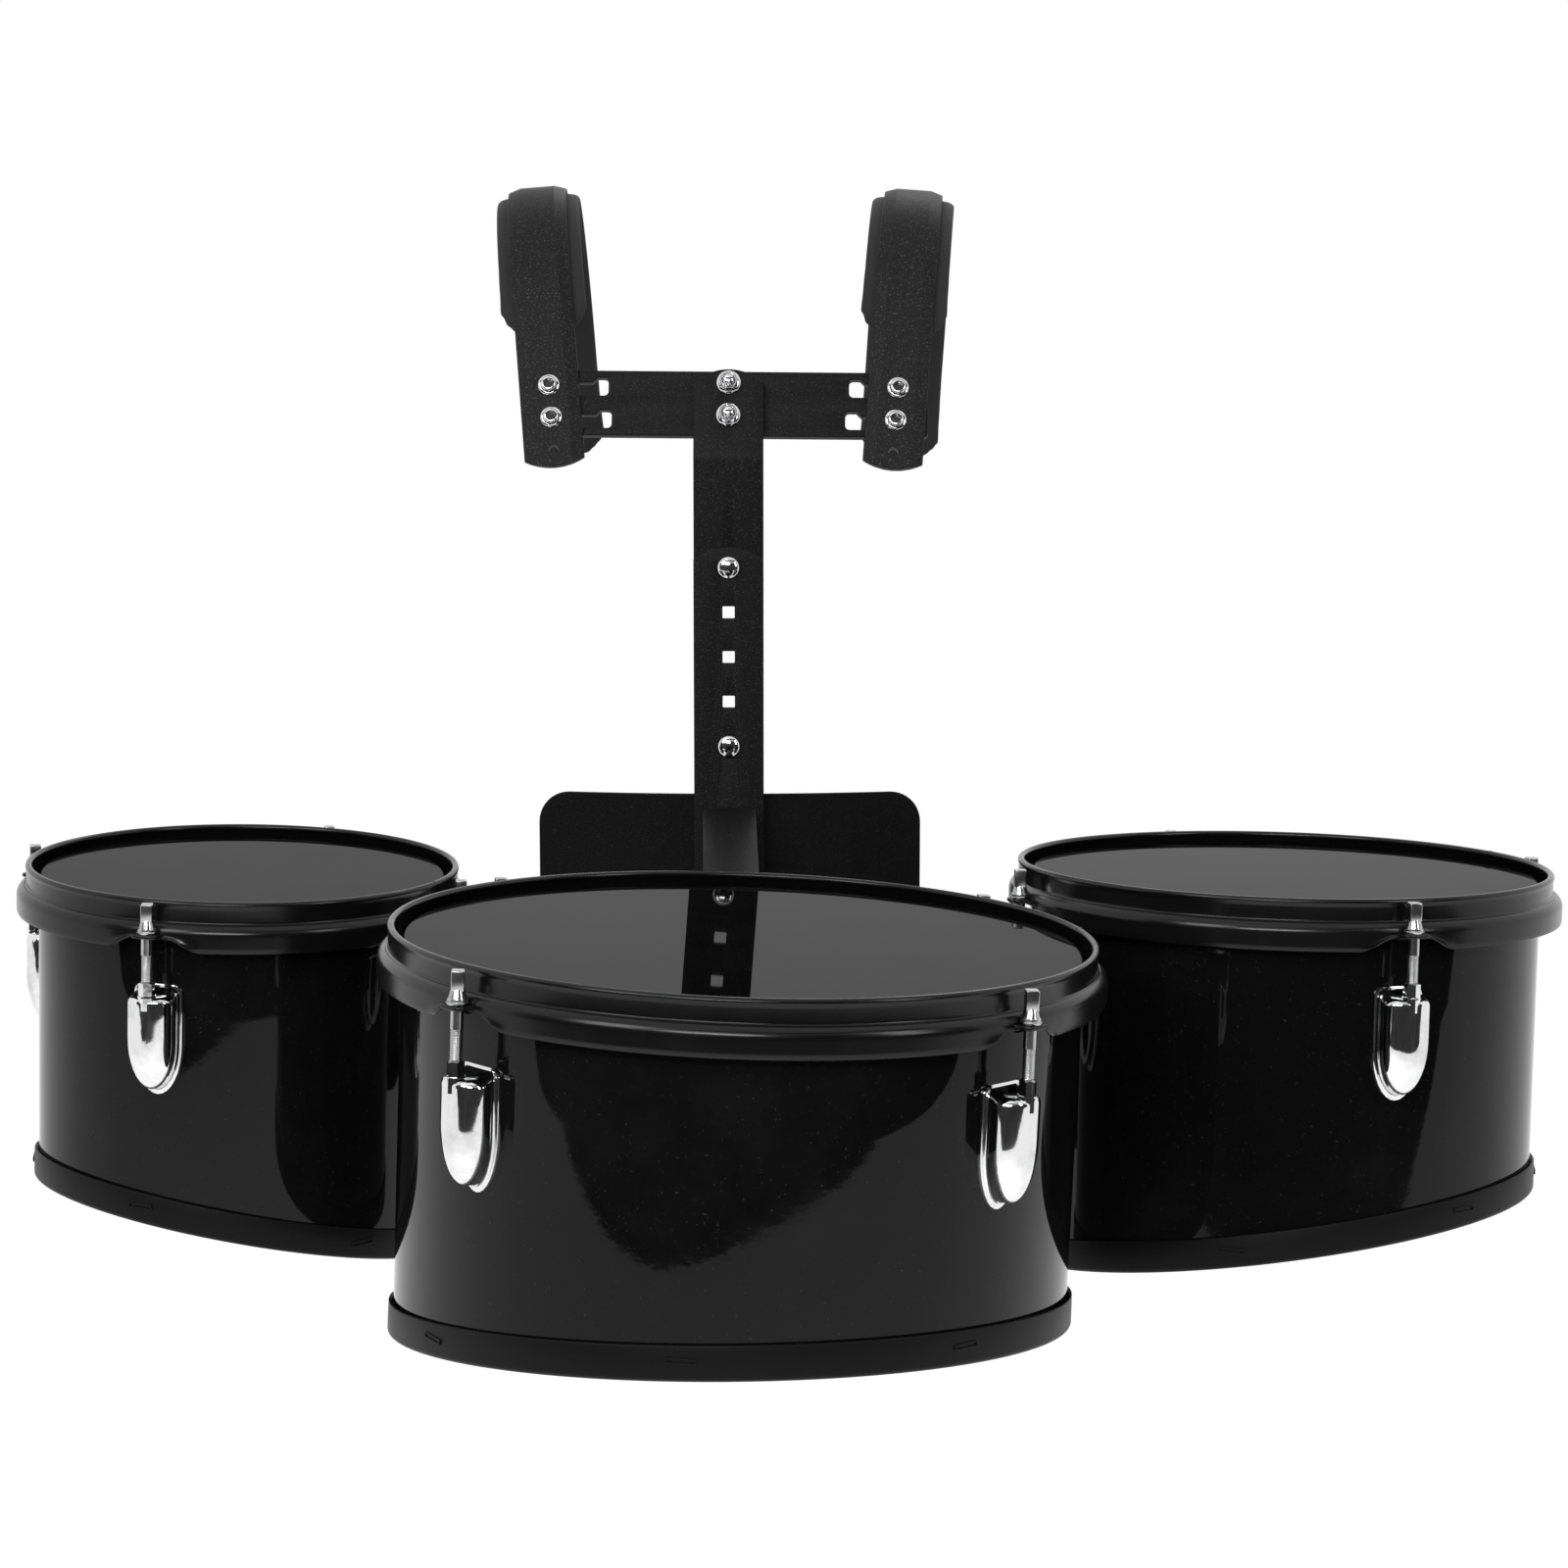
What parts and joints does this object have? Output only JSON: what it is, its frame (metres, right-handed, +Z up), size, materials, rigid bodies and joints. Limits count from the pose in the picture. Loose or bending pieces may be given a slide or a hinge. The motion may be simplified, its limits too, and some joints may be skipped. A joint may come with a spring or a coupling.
{
  "type": "marching tenor drums",
  "caption": "Marching tenor drums on a shoulder carrier: slant-cut shells with tensioned heads and chrome lugs, hung on a bracket below a padded harness.",
  "frame": {"origin": "where the carrier rests on the shoulders: under the crown of the shoulder pads, midway between the straps", "axes": "+Z up as worn, +Y towards the player's back, -Y towards the audience, +X to the right as the audience sees it"},
  "size_m": [0.7869, 0.7404, 0.5644],
  "materials": {
    "shell_wrap": "gloss black wrap on a wooden shell",
    "head_film": "gloss black film",
    "hoop_coat": "satin black powder coat",
    "guard_rubber": "satin moulded rubber",
    "chrome": "bright chrome plate",
    "carrier_coat": "fine-textured matte black powder coat",
    "bright_fastener": "bright zinc plate on steel",
    "pad_foam": "matte closed-cell foam"
  },
  "bodies": {
    "harness": {"upper_post": "carrier_coat", "crossbar": "carrier_coat", "crossbar_bolt_upper": "bright_fastener", "crossbar_bolt_lower": "bright_fastener"},
    "left_shoulder_strap": {"left_strap": "carrier_coat", "left_pad": "pad_foam", "left_strap_screw_upper": "bright_fastener", "left_strap_screw_lower": "bright_fastener"},
    "right_shoulder_strap": {"right_strap": "carrier_coat", "right_pad": "pad_foam", "right_strap_screw_upper": "bright_fastener", "right_strap_screw_lower": "bright_fastener"},
    "drum_set": {"lower_post": "carrier_coat", "belly_plate": "carrier_coat", "belly_pad": "pad_foam", "support_arm": "carrier_coat", "drum_rail": "carrier_coat", "carriage_bolt_upper": "bright_fastener", "carriage_bolt_lower": "bright_fastener", "belly_screw_upper": "bright_fastener", "belly_screw_lower": "bright_fastener", "small_shell": "shell_wrap", "small_head": "head_film", "small_edge_guard": "guard_rubber", "small_mount_bolts": "chrome", "small_lug_1": "chrome", "small_lug_2": "chrome", "small_lug_3": "chrome", "small_lug_4": "chrome", "large_shell": "shell_wrap", "large_head": "head_film", "large_edge_guard": "guard_rubber", "large_mount_bolts": "chrome", "large_lug_1": "chrome", "large_lug_2": "chrome", "large_lug_3": "chrome", "large_lug_4": "chrome", "medium_shell": "shell_wrap", "medium_head": "head_film", "medium_edge_guard": "guard_rubber", "medium_mount_bolts": "chrome", "medium_lug_1": "chrome", "medium_lug_2": "chrome", "medium_lug_3": "chrome", "medium_lug_4": "chrome"},
    "small_counter_hoop": {"small_hoop": "hoop_coat"},
    "small_tension_rod_1": {"small_rod_1": "chrome"},
    "small_tension_rod_2": {"small_rod_2": "chrome"},
    "small_tension_rod_3": {"small_rod_3": "chrome"},
    "small_tension_rod_4": {"small_rod_4": "chrome"},
    "large_counter_hoop": {"large_hoop": "hoop_coat"},
    "large_tension_rod_1": {"large_rod_1": "chrome"},
    "large_tension_rod_2": {"large_rod_2": "chrome"},
    "large_tension_rod_3": {"large_rod_3": "chrome"},
    "large_tension_rod_4": {"large_rod_4": "chrome"},
    "medium_counter_hoop": {"medium_hoop": "hoop_coat"},
    "medium_tension_rod_1": {"medium_rod_1": "chrome"},
    "medium_tension_rod_2": {"medium_rod_2": "chrome"},
    "medium_tension_rod_3": {"medium_rod_3": "chrome"},
    "medium_tension_rod_4": {"medium_rod_4": "chrome"}
  },
  "joints": [
    {"name": "left_strap_slide", "type": "slide", "parent": "harness", "child": "left_shoulder_strap", "axis": [1, -0.0027, -0.0083], "range_m": [-0.002, 0.025]},
    {"name": "right_strap_slide", "type": "slide", "parent": "harness", "child": "right_shoulder_strap", "axis": [1, -0.0027, -0.0083], "range_m": [-0.024, 0.007]},
    {"name": "drum_height", "type": "slide", "parent": "harness", "child": "drum_set", "axis": [0, 0, 1], "range_m": [-0.0508, 0.00635]},
    {"name": "small_hoop_lift", "type": "slide", "parent": "drum_set", "child": "small_counter_hoop", "axis": [0.0377, -0.0272, 0.9989], "range_m": [0, 0.00212]},
    {"name": "small_rod_turn_1", "type": "hinge", "parent": "small_counter_hoop", "child": "small_tension_rod_1", "pos_m": [-0.26855, -0.42061, -0.34129], "axis": [0.0377, -0.0272, 0.9989], "range_deg": [0, 720]},
    {"name": "small_rod_turn_2", "type": "hinge", "parent": "small_counter_hoop", "child": "small_tension_rod_2", "pos_m": [-0.12985, -0.33384, -0.34416], "axis": [0.0377, -0.0272, 0.9989], "range_deg": [0, 720]},
    {"name": "small_rod_turn_3", "type": "hinge", "parent": "small_counter_hoop", "child": "small_tension_rod_3", "pos_m": [-0.21645, -0.19519, -0.33711], "axis": [0.0377, -0.0272, 0.9989], "range_deg": [0, 720]},
    {"name": "small_rod_turn_4", "type": "hinge", "parent": "small_counter_hoop", "child": "small_tension_rod_4", "pos_m": [-0.35515, -0.28196, -0.33424], "axis": [0.0377, -0.0272, 0.9989], "range_deg": [0, 720]},
    {"name": "large_hoop_lift", "type": "slide", "parent": "drum_set", "child": "large_counter_hoop", "axis": [0.0387, 0.0019, 0.9992], "range_m": [0, 0.00212]},
    {"name": "large_rod_turn_1", "type": "hinge", "parent": "large_counter_hoop", "child": "large_tension_rod_1", "pos_m": [-0.1018, -0.60803, -0.3364], "axis": [0.0387, 0.0019, 0.9992], "range_deg": [0, 720]},
    {"name": "large_rod_turn_2", "type": "hinge", "parent": "large_counter_hoop", "child": "large_tension_rod_2", "pos_m": [0.13345, -0.60359, -0.34552], "axis": [0.0387, 0.0019, 0.9992], "range_deg": [0, 720]},
    {"name": "large_rod_turn_3", "type": "hinge", "parent": "large_counter_hoop", "child": "large_tension_rod_3", "pos_m": [0.129, -0.36817, -0.3458], "axis": [0.0387, 0.0019, 0.9992], "range_deg": [0, 720]},
    {"name": "large_rod_turn_4", "type": "hinge", "parent": "large_counter_hoop", "child": "large_tension_rod_4", "pos_m": [-0.10625, -0.37261, -0.33668], "axis": [0.0387, 0.0019, 0.9992], "range_deg": [0, 720]},
    {"name": "medium_hoop_lift", "type": "slide", "parent": "drum_set", "child": "medium_counter_hoop", "axis": [0.0145, 0.0272, 0.9995], "range_m": [0, 0.00212]},
    {"name": "medium_rod_turn_1", "type": "hinge", "parent": "medium_counter_hoop", "child": "medium_tension_rod_1", "pos_m": [0.14804, -0.35239, -0.33588], "axis": [0.0145, 0.0272, 0.9995], "range_deg": [0, 720]},
    {"name": "medium_rod_turn_2", "type": "hinge", "parent": "medium_counter_hoop", "child": "medium_tension_rod_2", "pos_m": [0.32245, -0.44934, -0.33577], "axis": [0.0145, 0.0272, 0.9995], "range_deg": [0, 720]},
    {"name": "medium_rod_turn_3", "type": "hinge", "parent": "medium_counter_hoop", "child": "medium_tension_rod_3", "pos_m": [0.41936, -0.27501, -0.34192], "axis": [0.0145, 0.0272, 0.9995], "range_deg": [0, 720]},
    {"name": "medium_rod_turn_4", "type": "hinge", "parent": "medium_counter_hoop", "child": "medium_tension_rod_4", "pos_m": [0.24495, -0.17806, -0.34203], "axis": [0.0145, 0.0272, 0.9995], "range_deg": [0, 720]}
  ],
  "couplings": [
    {"joint": "small_rod_turn_1", "follows": "small_hoop_lift", "rad_per_m": 5936.9},
    {"joint": "small_rod_turn_2", "follows": "small_hoop_lift", "rad_per_m": 5936.9},
    {"joint": "small_rod_turn_3", "follows": "small_hoop_lift", "rad_per_m": 5936.9},
    {"joint": "small_rod_turn_4", "follows": "small_hoop_lift", "rad_per_m": 5936.9},
    {"joint": "large_rod_turn_1", "follows": "large_hoop_lift", "rad_per_m": 5936.9},
    {"joint": "large_rod_turn_2", "follows": "large_hoop_lift", "rad_per_m": 5936.9},
    {"joint": "large_rod_turn_3", "follows": "large_hoop_lift", "rad_per_m": 5936.9},
    {"joint": "large_rod_turn_4", "follows": "large_hoop_lift", "rad_per_m": 5936.9},
    {"joint": "medium_rod_turn_1", "follows": "medium_hoop_lift", "rad_per_m": 5936.9},
    {"joint": "medium_rod_turn_2", "follows": "medium_hoop_lift", "rad_per_m": 5936.9},
    {"joint": "medium_rod_turn_3", "follows": "medium_hoop_lift", "rad_per_m": 5936.9},
    {"joint": "medium_rod_turn_4", "follows": "medium_hoop_lift", "rad_per_m": 5936.9}
  ]
}
